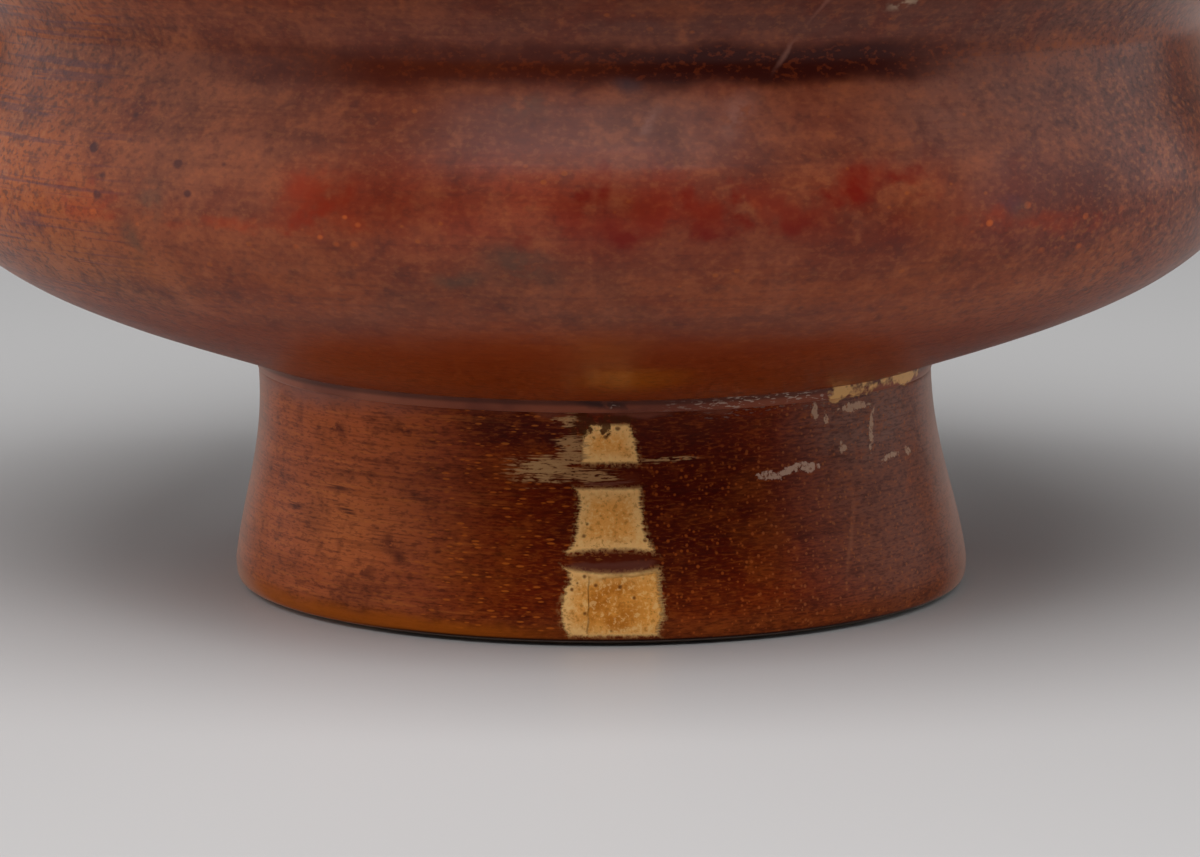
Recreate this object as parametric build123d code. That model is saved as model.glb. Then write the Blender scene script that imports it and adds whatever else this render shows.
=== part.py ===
from build123d import *
import math
import os

# Red-slipped ceramic bowl on a tall foot ring, in millimetres.
# +Z is the wheel axis, and the origin is on the table under the middle of the foot.
# Every piece is turned on that axis, so outlines are drawn as radius and height.

# Foot ring
foot_radius = 26.0          # widest, just above the standing edge
foot_widest_height = 1.75
foot_height = 16.1          # table to the bowl's underside at the neck
foot_neck_radius = 23.8     # outside of the ring where it meets the bowl
foot_neck_wall = 4.4        # clay of the ring at the neck
foot_shoulder_round = 0.8   # rounded top edge, outside
foot_edge_inset = 0.45      # lower outside edge, in from the widest radius
foot_edge_lift = 0.34       # that edge, up from the table
standing_inset = 1.5        # flat standing face, in from the widest radius
standing_width = 3.4
standing_inner_round = 0.9
foot_flare_lean = 7.2       # degrees from upright, just above the widest part
foot_flare_lower_share = 0.35
foot_flare_upper_share = 0.42

# Slip that lutes the ring to the bowl
slip_thickness = 0.3        # upright, between ring and bowl
slip_bead = 0.12            # stands proud of the neck, where it meets the bowl
slip_shoulder_share = 0.75  # how far down the ring's rounded edge it is wiped, outside
slip_fillet = 1.3           # wiped into the corner inside the ring

# Lower wall
underside_slope = 20.0      # degrees from level, where the ring is seated
belly_radius = 45.9
belly_height = 30.0
belly_wall = 4.2
underside_run_share = 0.315
underside_rise_share = 0.558

# Hollow under the floor, and the floor inside
hollow_dish = 0.8           # how far the underside still drops, from the luted corner to the axis
hollow_share = 0.5
floor_thickness = 5.2
floor_run_share = 0.5
floor_rise_share = 0.6

# Waist between lower and upper wall
waist_radius = 42.7         # in the bottom of the crease
waist_height = 40.0
waist_wall = 4.0
crease_width = 3.0          # upright
crease_share = 0.8
inner_ridge_width = 4.4
shoulder_lean = 17.0        # degrees from upright, going in to the crease
flare_lean = 30.0           # degrees from upright, coming out of the crease
inner_shoulder_lean = 20.0
inner_flare_lean = 26.0
shoulder_belly_share = 0.42
shoulder_crease_share = 0.4

# Upper wall and lip
rim_radius = 56.5
rim_height = 58.0
lip_round = 2.0
lip_lower_angle = 42.0      # degrees below level, where the outer wall runs into the lip
lip_inner_angle = 12.0      # degrees above level, where the inner wall leaves it
rim_lean = 8.0              # degrees from upright, under the lip
upper_flare_share = 0.42
upper_rim_share = 0.45

# Two fine rings turned in the floor
floor_ring_depth = 0.3
floor_ring_shares = (0.27, 0.3)


def at(radius, height):
    return Vector(radius, 0, height)


def toward(start, degrees_from_upright, length):
    """Point that lies a length away from start, leaning outwards from upright."""
    lean = math.radians(degrees_from_upright)
    return start + at(length * math.sin(lean), length * math.cos(lean))


def turned(name, outline):
    """Solid of revolution of a closed outline, written as one piece."""
    solid = revolve(make_face(Wire(outline)), Axis.Z)
    return name, solid


def underside(radius):
    """Height of the cone on the bowl's underside that the ring is luted to."""
    rise = (radius - foot_neck_radius) * math.tan(math.radians(underside_slope))
    return foot_height + rise


def ring_top(radius):
    return underside(radius) - slip_thickness


# Points that two pieces share
seat_outer_radius = foot_neck_radius - foot_shoulder_round
seat_inner_radius = foot_neck_radius - foot_neck_wall
seat_outer = at(seat_outer_radius, ring_top(seat_outer_radius))
seat_inner = at(seat_inner_radius, ring_top(seat_inner_radius))
standing_outer_radius = foot_radius - standing_inset
standing_inner_radius = standing_outer_radius - standing_width
inner_wall_foot = at(standing_inner_radius - standing_inner_round, standing_inner_round)
inner_wall = seat_inner - inner_wall_foot
fillet_foot = seat_inner - inner_wall.normalized() * slip_fillet
fillet_roof_radius = seat_inner_radius - slip_fillet
fillet_roof = at(fillet_roof_radius, underside(fillet_roof_radius))
shoulder_corner = at(foot_neck_radius, ring_top(foot_neck_radius))
shoulder_low = shoulder_corner - at(0, foot_shoulder_round)
bead_radius = foot_neck_radius + slip_bead
bead_top = at(bead_radius, underside(bead_radius))


def make_foot_ring():
    edge = at(foot_radius - foot_edge_inset, foot_edge_lift)
    widest = at(foot_radius, foot_widest_height)
    wall_height = shoulder_low.Z - foot_widest_height
    flare_start = toward(widest, -foot_flare_lean, foot_flare_lower_share * wall_height)
    flare_end = toward(shoulder_low, 0, -foot_flare_upper_share * wall_height)
    standing_outer = at(standing_outer_radius, 0)
    standing_inner = at(standing_inner_radius, 0)
    return turned("foot_ring", [
        Line(standing_inner, standing_outer),
        Line(standing_outer, edge),
        Bezier(edge, at(foot_radius, foot_edge_lift), widest),
        Bezier(widest, flare_start, flare_end, shoulder_low),
        Bezier(shoulder_low, shoulder_corner, seat_outer),
        Line(seat_outer, seat_inner),
        Line(seat_inner, inner_wall_foot),
        Bezier(inner_wall_foot, at(standing_inner_radius - standing_inner_round, 0), standing_inner),
    ])


def make_luting_slip():
    corner = at(seat_inner_radius, underside(seat_inner_radius))
    pull = seat_outer + (shoulder_corner - seat_outer) * slip_shoulder_share
    pull_low = shoulder_corner + (shoulder_low - shoulder_corner) * slip_shoulder_share
    bead_foot = pull + (pull_low - pull) * slip_shoulder_share
    return turned("luting_slip", [
        Line(fillet_foot, seat_inner),
        Line(seat_inner, seat_outer),
        Bezier(seat_outer, pull, bead_foot),
        Bezier(bead_foot, at(bead_radius, bead_foot.Z), bead_top),
        Line(bead_top, fillet_roof),
        Bezier(fillet_roof, corner - at(0, slip_thickness), fillet_foot),
    ])


def crease(radius, half_width, lean_in, lean_out):
    """Rounded bottom of a crease at the waist: its two ends and the curve between them."""
    reach = crease_share * half_width
    step_in = reach * math.tan(math.radians(lean_in))
    step_out = reach * math.tan(math.radians(lean_out))
    lower = at(radius + step_in, waist_height - half_width)
    upper = at(radius + step_out, waist_height + half_width)
    lower_pull = toward(lower, -lean_in, reach / math.cos(math.radians(lean_in)))
    upper_pull = toward(upper, lean_out, -reach / math.cos(math.radians(lean_out)))
    return lower, upper, Bezier(lower, lower_pull, upper_pull, upper)


def make_bowl_body():
    neck = at(foot_neck_radius, foot_height)
    belly = at(belly_radius, belly_height)
    run = underside_run_share * (belly_radius - foot_neck_radius)
    run_end = toward(neck, 90 - underside_slope, run / math.cos(math.radians(underside_slope)))
    belly_start = toward(belly, 0, -underside_rise_share * (belly_height - foot_height))

    crease_half = crease_width / 2
    crease_low, crease_high, crease_curve = crease(waist_radius, crease_half, shoulder_lean, flare_lean)
    shoulder_rise = crease_low.Z - belly_height
    shoulder_start = toward(belly, 0, shoulder_belly_share * shoulder_rise)
    shoulder_end = toward(crease_low, -shoulder_lean, -shoulder_crease_share * shoulder_rise)

    lip_centre = at(rim_radius - lip_round, rim_height - lip_round)
    lip_low = toward(lip_centre, 90 + lip_lower_angle, lip_round)
    lip_top = toward(lip_centre, 0, lip_round)
    lip_in = toward(lip_centre, lip_inner_angle - 90, lip_round)
    flare_rise = lip_low.Z - crease_high.Z
    flare_start = toward(crease_high, flare_lean, upper_flare_share * flare_rise)
    flare_end = toward(lip_low, rim_lean, -upper_rim_share * flare_rise)

    ridge_half = inner_ridge_width / 2
    ridge_radius = waist_radius - waist_wall
    ridge_low, ridge_high, ridge_curve = crease(ridge_radius, ridge_half, inner_shoulder_lean, inner_flare_lean)
    inner_rise = lip_in.Z - ridge_high.Z
    inner_rim_end = toward(lip_in, rim_lean, -upper_rim_share * inner_rise)
    inner_flare_start = toward(ridge_high, inner_flare_lean, upper_flare_share * inner_rise)

    inner_belly = at(belly_radius - belly_wall, belly_height)
    inner_shoulder_rise = ridge_low.Z - belly_height
    inner_shoulder_end = toward(ridge_low, -inner_shoulder_lean, -shoulder_crease_share * inner_shoulder_rise)
    inner_shoulder_start = toward(inner_belly, 0, shoulder_belly_share * inner_shoulder_rise)

    hollow_height = fillet_roof.Z - hollow_dish
    floor_height = hollow_height + floor_thickness
    floor_middle = at(0, floor_height)
    floor_run_end = at(floor_run_share * inner_belly.X, floor_height)
    floor_rise_start = toward(inner_belly, 0, -floor_rise_share * (belly_height - floor_height))
    floor_curve = Bezier(inner_belly, floor_rise_start, floor_run_end, floor_middle)

    hollow_middle = at(0, hollow_height)
    hollow_end = at(hollow_share * fillet_roof_radius, hollow_height)
    hollow_level = hollow_dish / math.tan(math.radians(underside_slope))
    hollow_start = at(fillet_roof_radius - hollow_level, hollow_height)

    name, body = turned("bowl_body", [
        Bezier(hollow_middle, hollow_end, hollow_start, fillet_roof),
        Line(fillet_roof, neck),
        Bezier(neck, run_end, belly_start, belly),
        Bezier(belly, shoulder_start, shoulder_end, crease_low),
        crease_curve,
        Bezier(crease_high, flare_start, flare_end, lip_low),
        ThreePointArc(lip_low, lip_top, lip_in),
        Bezier(lip_in, inner_rim_end, inner_flare_start, ridge_high),
        ridge_curve,
        Bezier(ridge_low, inner_shoulder_end, inner_shoulder_start, inner_belly),
        floor_curve,
        Line(floor_middle, hollow_middle),
    ])
    for share in floor_ring_shares:
        ring_at = floor_curve @ (1 - share)
        body -= Pos(0, 0, ring_at.Z) * Torus(ring_at.X, floor_ring_depth)
    return name, body


os.makedirs("parts", exist_ok=True)
for name, solid in (make_bowl_body(), make_foot_ring(), make_luting_slip()):
    export_step(solid, f"parts/{name}.step")
    print(name, round(solid.volume), solid.is_valid)
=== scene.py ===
import math
from bisect import bisect
from functools import partial
from types import SimpleNamespace

import bpy
from bpy.props import FloatProperty, FloatVectorProperty, IntProperty, PointerProperty
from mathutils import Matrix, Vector


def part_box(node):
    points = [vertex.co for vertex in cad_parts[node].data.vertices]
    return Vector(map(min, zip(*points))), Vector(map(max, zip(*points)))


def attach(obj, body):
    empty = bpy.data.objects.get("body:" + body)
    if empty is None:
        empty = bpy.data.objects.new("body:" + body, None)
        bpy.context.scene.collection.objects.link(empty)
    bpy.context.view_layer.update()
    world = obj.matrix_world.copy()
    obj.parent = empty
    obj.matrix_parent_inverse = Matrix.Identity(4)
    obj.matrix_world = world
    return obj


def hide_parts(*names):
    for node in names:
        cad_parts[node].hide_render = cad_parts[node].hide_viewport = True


bl_info = {
    "name": "Red-slipped bowl",
    "version": (1, 0, 0),
    "blender": (4, 5, 0),
    "location": "3D View > Sidebar > Bowl",
    "description": "Dresses the packed bowl: thrown wall, turned foot ring, luted seam, red slip and studio",
    "category": "Object",
}

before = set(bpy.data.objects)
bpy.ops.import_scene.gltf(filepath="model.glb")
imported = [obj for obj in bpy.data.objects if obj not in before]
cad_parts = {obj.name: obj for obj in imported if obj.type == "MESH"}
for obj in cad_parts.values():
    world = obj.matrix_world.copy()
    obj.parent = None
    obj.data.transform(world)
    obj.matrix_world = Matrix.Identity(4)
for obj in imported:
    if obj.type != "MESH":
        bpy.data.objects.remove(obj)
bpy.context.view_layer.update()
MM = 0.001

FOOT_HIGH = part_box("foot_ring")[1]
BODY_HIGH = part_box("bowl_body")[1]
SCENE = bpy.context.scene

# Radius, in mm, at which a distance round the wall or the foot is measured
WALL_GIRTH, FOOT_GIRTH = 44, 25


def linear(hex_colour):
    """sRGB hex to the linear colour that shaders and properties take."""
    channels = [int(hex_colour[i:i + 2], 16) / 255 for i in (1, 3, 5)]
    return tuple(c / 12.92 if c <= 0.04045 else ((c + 0.055) / 1.055) ** 2.4 for c in channels)


def length(name, description, default):
    return FloatProperty(name=name, description=description, default=default, unit="LENGTH", precision=5)


def share(name, description, default):
    return FloatProperty(name=name, description=description, default=default, min=0, max=1, subtype="FACTOR")


def angle(name, description, degrees):
    return FloatProperty(name=name, description=description, default=math.radians(degrees), subtype="ANGLE")


def power(name, description, watts):
    return FloatProperty(name=name, description=description, default=watts, unit="POWER")


def colour(name, description, hex_colour):
    return FloatVectorProperty(name=name, description=description, default=linear(hex_colour),
                               subtype="COLOR", size=3, min=0, max=1)


class FootSizes(bpy.types.PropertyGroup):
    radius: length("Radius", "Widest, just above the standing edge", FOOT_HIGH.x)
    widest_height: length("Widest height", "Height of the widest radius", 1.75 * MM)
    neck_radius: length("Neck radius", "Outside of the ring at the bowl", 23.8 * MM)
    neck_height: length("Neck height", "The bowl's underside at the neck", 16.1 * MM)
    neck_wall: length("Neck wall", "Clay of the ring at the neck", 4.4 * MM)
    shoulder: length("Shoulder", "Rounded top edge of the ring", 0.8 * MM)
    edge_inset: length("Edge inset", "Lower outside edge, in from the widest radius", 0.45 * MM)
    edge_lift: length("Edge lift", "Lower outside edge, above the table", 0.34 * MM)
    standing_inset: length("Standing inset", "Standing face, in from the widest radius", 1.5 * MM)
    standing_width: length("Standing width", "Width of the flat standing face", 3.4 * MM)
    inner_round: length("Inner round", "Rounded inner edge of the standing face", 0.9 * MM)
    flare_lean: angle("Flare lean", "Lean from upright above the widest part", 7.2)
    lower_share: share("Lower share", "Pull of the flare's lower end", 0.35)
    upper_share: share("Upper share", "Pull of the flare's upper end", 0.42)


class WallSizes(bpy.types.PropertyGroup):
    slope: angle("Underside slope", "Slope of the underside at the foot", 20)
    belly_radius: length("Belly radius", "Widest radius of the lower wall", 45.9 * MM)
    belly_height: length("Belly height", "Height of that radius", 30 * MM)
    belly_wall: length("Belly wall", "Thickness at the belly", 4.2 * MM)
    run_share: share("Underside run", "Pull of the underside's lower end", 0.315)
    rise_share: share("Underside rise", "Pull of the underside's upper end", 0.558)
    hollow_dish: length("Hollow dish", "Drop of the underside from the seam to the axis", 0.8 * MM)
    hollow_share: share("Hollow share", "Flat share of the underside inside the foot", 0.5)
    floor_thickness: length("Floor thickness", "Thickness at the axis", 5.2 * MM)
    floor_run_share: share("Floor run", "Pull of the floor's flat middle", 0.5)
    floor_rise_share: share("Floor rise", "Pull of the floor's rise into the belly", 0.6)
    ring_depth: length("Floor rings", "Depth of the two fine rings turned in the floor", 0.3 * MM)
    inner_ring: share("Inner ring", "Its place along the floor, from the axis out", 0.27)
    outer_ring: share("Outer ring", "Its place along the floor, from the axis out", 0.3)
    waist_radius: length("Waist radius", "In the bottom of the crease", 42.7 * MM)
    waist_height: length("Waist height", "Height of the crease", 40 * MM)
    waist_wall: length("Waist wall", "Thickness at the waist", 4 * MM)
    crease_width: length("Crease width", "Height of the rounded crease", 3 * MM)
    crease_share: share("Crease share", "Depth of the crease's rounding", 0.8)
    ridge_width: length("Inner ridge", "Height of the rounded ridge inside the waist", 4.4 * MM)
    shoulder_lean: angle("Shoulder lean", "Lean from upright into the crease", 17)
    flare_lean: angle("Flare lean", "Lean from upright out of the crease", 30)
    inner_shoulder_lean: angle("Inner shoulder lean", "The same below the ridge inside", 20)
    inner_flare_lean: angle("Inner flare lean", "The same above the ridge inside", 26)
    belly_share: share("Shoulder's belly end", "Pull of the shoulder at the belly", 0.42)
    shoulder_share: share("Shoulder's crease end", "Pull of the shoulder at the crease", 0.4)
    rim_radius: length("Rim radius", "Outside of the lip", BODY_HIGH.x)
    rim_height: length("Rim height", "Top of the lip", BODY_HIGH.z)
    lip: length("Lip", "Radius of the rounded lip", 2 * MM)
    lip_lower: angle("Lip, lower end", "Below level, where the outer wall meets the lip", 42)
    lip_inner: angle("Lip, inner end", "Above level, where the inner wall leaves the lip", 12)
    rim_lean: angle("Rim lean", "Lean from upright under the lip", 8)
    flare_share: share("Flare share", "Pull of the upper wall at the waist", 0.42)
    rim_share: share("Rim share", "Pull of the upper wall at the rim", 0.45)


class SeamSizes(bpy.types.PropertyGroup):
    thickness: length("Slip", "Luting slip between ring and bowl", 0.3 * MM)
    bead: length("Bead", "Stands proud of the neck, where the slip meets the bowl", 0.12 * MM)
    shoulder_share: share("Over the shoulder", "How far down the ring's rounded edge the slip is wiped", 0.75)
    fillet: length("Fillet", "Slip wiped into the corner inside the ring", 1.3 * MM)


class WheelMarks(bpy.types.PropertyGroup):
    ridge_depth: length("Ridge depth", "Depth of the soft ridges left by the potter's tool", 0.05 * MM)
    ridge_spacing: length("Ridge spacing", "Spacing of those ridges", 3.2 * MM)
    lean: length("Lean", "How far the neck and belly sit to the left of the foot", 0.9 * MM)
    cut_depth: length("Cut", "Depth of the cut across the foot's bare stripe", 0.3 * MM)
    cut_low: length("Cut, lower edge", "Height above the table", 4.95 * MM)
    cut_high: length("Cut, upper edge", "Height above the table", 6.15 * MM)
    cut_left: length("Cut, left end", "Distance round the foot from the front", -2.7 * MM)
    cut_right: length("Cut, right end", "Distance round the foot from the front", 3.8 * MM)
    seed: IntProperty(name="Seed", description="Seed of the ridges", default=4)


LEVEL = math.pi / 2  # lean of something that lies level, outwards


def at(radius, height):
    return Vector((radius, height))


def toward(start, lean, distance):
    """Point that lies a distance away from start, leaning outwards from upright."""
    return start + at(distance * math.sin(lean), distance * math.cos(lean))


def curve_points(controls, count):
    """Points along a Bezier curve of any degree, without the last."""
    points = []
    for i in range(count):
        layer = list(controls)
        while len(layer) > 1:
            layer = [a.lerp(b, i / count) for a, b in zip(layer, layer[1:])]
        points.append(layer[0])
    return points


def arc_points(centre, radius, first, last, count):
    """Points on an arc, by its leans from upright, without the last."""
    return [toward(centre, first + (last - first) * i / count, radius) for i in range(count)]


def outline(*parts):
    """Points of a half-section. A part is a curve's control points and its rows of faces, or plain points."""
    points = []
    for part in parts:
        points += part if isinstance(part, list) else curve_points(part[:-1], part[-1])
    return points


def ring_points(s):
    """Points that the ring, the seam and the bowl share."""
    foot, wall, seam = s.foot, s.wall, s.seam

    def underside(radius):
        return foot.neck_height + (radius - foot.neck_radius) * math.tan(wall.slope)

    def on_bowl(radius):
        return at(radius, underside(radius))

    def on_ring(radius):
        return at(radius, underside(radius) - seam.thickness)

    inner = foot.neck_radius - foot.neck_wall
    seat_inner = on_ring(inner)
    standing_outer = foot.radius - foot.standing_inset
    standing_inner = standing_outer - foot.standing_width
    wall_foot = at(standing_inner - foot.inner_round, foot.inner_round)
    return SimpleNamespace(
        on_bowl=on_bowl,
        shoulder=on_ring(foot.neck_radius),
        seat_outer=on_ring(foot.neck_radius - foot.shoulder),
        seat_inner=seat_inner,
        standing_outer=at(standing_outer, 0),
        standing_inner=at(standing_inner, 0),
        wall_foot=wall_foot,
        fillet_foot=seat_inner + (wall_foot - seat_inner).normalized() * seam.fillet,
        fillet_roof=on_bowl(inner - seam.fillet),
    )


def foot_outline(s):
    """Half-section of the ring: its standing face, outside, seat and inside."""
    foot, p = s.foot, ring_points(s)
    edge = at(foot.radius - foot.edge_inset, foot.edge_lift)
    widest = at(foot.radius, foot.widest_height)
    neck = p.shoulder - at(0, foot.shoulder)
    rise = neck.y - widest.y
    flare_start = toward(widest, -foot.flare_lean, foot.lower_share * rise)
    flare_end = neck - at(0, foot.upper_share * rise)
    return outline(
        (p.standing_inner, p.standing_outer, 4),
        (p.standing_outer, edge, 3),
        (edge, at(foot.radius, edge.y), widest, 12),
        (widest, flare_start, flare_end, neck, 64),
        (neck, p.shoulder, p.seat_outer, 12),
        (p.seat_outer, p.seat_inner, 3),
        (p.seat_inner, p.wall_foot, 24),
        (p.wall_foot, at(p.wall_foot.x, 0), p.standing_inner, 8),
        [p.standing_inner],
    )


def seam_outline(s):
    """Half-section of the slip: the fillet inside, the layer on the ring and the bead outside."""
    p, wiped = ring_points(s), s.seam.shoulder_share
    bead = s.foot.neck_radius + s.seam.bead
    pull = p.seat_outer.lerp(p.shoulder, wiped)
    pull_low = p.shoulder.lerp(p.shoulder - at(0, s.foot.shoulder), wiped)
    bead_foot = pull.lerp(pull_low, wiped)
    return outline(
        (p.fillet_foot, p.seat_inner, 2),
        (p.seat_inner, p.seat_outer, 2),
        (p.seat_outer, pull, bead_foot, 6),
        (bead_foot, at(bead, bead_foot.y), p.on_bowl(bead), 10),
        (p.on_bowl(bead), p.fillet_roof, 3),
        (p.fillet_roof, p.seat_inner, p.fillet_foot, 10),
        [p.fillet_foot],
    )


def crease(wall, radius, width, lean_in, lean_out):
    """Control points of the rounded turn at the waist."""
    reach = wall.crease_share * width / 2
    lower = at(radius + reach * math.tan(lean_in), wall.waist_height - width / 2)
    upper = at(radius + reach * math.tan(lean_out), wall.waist_height + width / 2)
    return [
        lower,
        toward(lower, -lean_in, reach / math.cos(lean_in)),
        toward(upper, lean_out, -reach / math.cos(lean_out)),
        upper,
    ]


def wall_outline(s):
    """Half-section of the bowl: out from the axis under the floor, up to the lip, and back down inside."""
    foot, wall, p = s.foot, s.wall, ring_points(s)
    neck = at(foot.neck_radius, foot.neck_height)
    belly = at(wall.belly_radius, wall.belly_height)
    run = wall.run_share * (belly.x - neck.x) / math.cos(wall.slope)
    run_end = toward(neck, LEVEL - wall.slope, run)
    belly_start = belly - at(0, wall.rise_share * (belly.y - neck.y))

    outer = crease(wall, wall.waist_radius, wall.crease_width, wall.shoulder_lean, wall.flare_lean)
    rise = outer[0].y - belly.y
    shoulder_start = belly + at(0, wall.belly_share * rise)
    shoulder_end = toward(outer[0], -wall.shoulder_lean, -wall.shoulder_share * rise)

    lip_centre = at(wall.rim_radius - wall.lip, wall.rim_height - wall.lip)
    lip_low = toward(lip_centre, LEVEL + wall.lip_lower, wall.lip)
    lip_in = toward(lip_centre, wall.lip_inner - LEVEL, wall.lip)
    rise = lip_low.y - outer[3].y
    flare_start = toward(outer[3], wall.flare_lean, wall.flare_share * rise)
    flare_end = toward(lip_low, wall.rim_lean, -wall.rim_share * rise)

    inner = crease(wall, wall.waist_radius - wall.waist_wall, wall.ridge_width,
                   wall.inner_shoulder_lean, wall.inner_flare_lean)
    rise = lip_in.y - inner[3].y
    inner_rim = toward(lip_in, wall.rim_lean, -wall.rim_share * rise)
    inner_flare = toward(inner[3], wall.inner_flare_lean, wall.flare_share * rise)

    inner_belly = at(wall.belly_radius - wall.belly_wall, wall.belly_height)
    rise = inner[0].y - inner_belly.y
    inner_shoulder_end = toward(inner[0], -wall.inner_shoulder_lean, -wall.shoulder_share * rise)
    inner_shoulder_start = inner_belly + at(0, wall.belly_share * rise)

    hollow_middle = at(0, p.fillet_roof.y - wall.hollow_dish)
    hollow_end = at(wall.hollow_share * p.fillet_roof.x, hollow_middle.y)
    hollow_level = at(p.fillet_roof.x - wall.hollow_dish / math.tan(wall.slope), hollow_middle.y)
    floor_middle = hollow_middle + at(0, wall.floor_thickness)
    floor_end = at(wall.floor_run_share * inner_belly.x, floor_middle.y)
    floor_rise = inner_belly - at(0, wall.floor_rise_share * (inner_belly.y - floor_middle.y))
    return outline(
        (hollow_middle, hollow_end, hollow_level, p.fillet_roof, 14),
        (p.fillet_roof, neck, 5),
        (neck, run_end, belly_start, belly, 66),
        (belly, shoulder_start, shoulder_end, outer[0], 22),
        (*outer, 12),
        (outer[3], flare_start, flare_end, lip_low, 40),
        arc_points(lip_centre, wall.lip, LEVEL + wall.lip_lower, wall.lip_inner - LEVEL, 18),
        (lip_in, inner_rim, inner_flare, inner[3], 20),
        (*inner[::-1], 10),
        (inner[0], inner_shoulder_end, inner_shoulder_start, inner_belly, 10),
        floor_points(wall, [inner_belly, floor_rise, floor_end, floor_middle], 38),
    )


def floor_points(wall, controls, count):
    """Points on the floor from the belly to the axis, with two fine rings turned in it."""
    groove_rows = 6
    margin = 1.3 * wall.ring_depth
    fine = curve_points(controls, 20 * count) + [controls[-1]]
    runs = [0]
    for here, after in zip(fine, fine[1:]):
        runs.append(runs[-1] + (after - here).length)
    rings = [runs[-1] * (1 - ring) for ring in (wall.outer_ring, wall.inner_ring)]
    steps = [runs[-1] * i / count for i in range(count + 1)]
    steps = [step for step in steps if all(abs(step - ring) > margin for ring in rings)]
    steps += [ring - wall.ring_depth * math.cos(math.pi * i / groove_rows)
              for ring in rings for i in range(groove_rows + 1)]
    points = []
    for step in sorted(steps):
        i = min(bisect(runs, step), len(runs) - 1)
        point = fine[i - 1].lerp(fine[i], (step - runs[i - 1]) / (runs[i] - runs[i - 1]))
        off = min(abs(step - ring) for ring in rings) / wall.ring_depth
        points.append(point - at(0, wall.ring_depth * math.sqrt(max(1 - off * off, 0))))
    return points


def new_object(name, data):
    made = bpy.data.objects.new(name, data)
    SCENE.collection.objects.link(made)
    return made


def outline_object(name, points):
    """Half-section as a line of vertices, with the distance run along it."""
    mesh = bpy.data.meshes.new(name)
    edges = [(i, i + 1) for i in range(len(points) - 1)]
    mesh.from_pydata([(p.x, 0, p.y) for p in points], edges, [])
    run, total = [], 0
    for i, point in enumerate(points):
        total += (point - points[i - 1]).length if i else 0
        run.append(total)
    mesh.attributes.new("wheel_run", "FLOAT", "POINT").data.foreach_set("value", run)
    return new_object(name, mesh)


def add(tree, kind, *values, inputs=(), **settings):
    """Adds a node with its settings. Values fill its shown inputs in order, or the inputs that are named."""
    kind, *operation = kind.split()
    node = tree.nodes.new(kind)
    for name, value in [*zip(["operation"], operation), *settings.items()]:
        setattr(node, name, value)
    shown = [socket for socket in node.inputs if socket.enabled]
    for socket, value in [*zip(shown, values), *((node.inputs[name], value) for name, value in inputs)]:
        if isinstance(value, bpy.types.Node):
            value = next(output for output in value.outputs if output.enabled)
        if isinstance(value, bpy.types.NodeSocket):
            tree.links.new(value, socket)
        elif value is not None:
            socket.default_value = value
    return node


# Nodes by kind. The sums that are common have names of their own, and a plain MATH adds
MATH, VECTOR, RANGE = "ShaderNodeMath", "ShaderNodeVectorMath", "ShaderNodeMapRange"
MINUS, TIMES, OVER = MATH + " SUBTRACT", MATH + " MULTIPLY", MATH + " DIVIDE"
TIMES_PLUS, LEAST, MOST = MATH + " MULTIPLY_ADD", MATH + " MINIMUM", MATH + " MAXIMUM"
SPLIT, JOIN, CHANNELS = "ShaderNodeSeparateXYZ", "ShaderNodeCombineXYZ", "ShaderNodeSeparateColor"
NOISE, CELLS, SAMPLE = "ShaderNodeTexNoise", "ShaderNodeTexVoronoi", "GeometryNodeSampleIndex"
SMOOTH = {"interpolation_type": "SMOOTHSTEP"}
TURNED = "Turned on the wheel"


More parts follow.
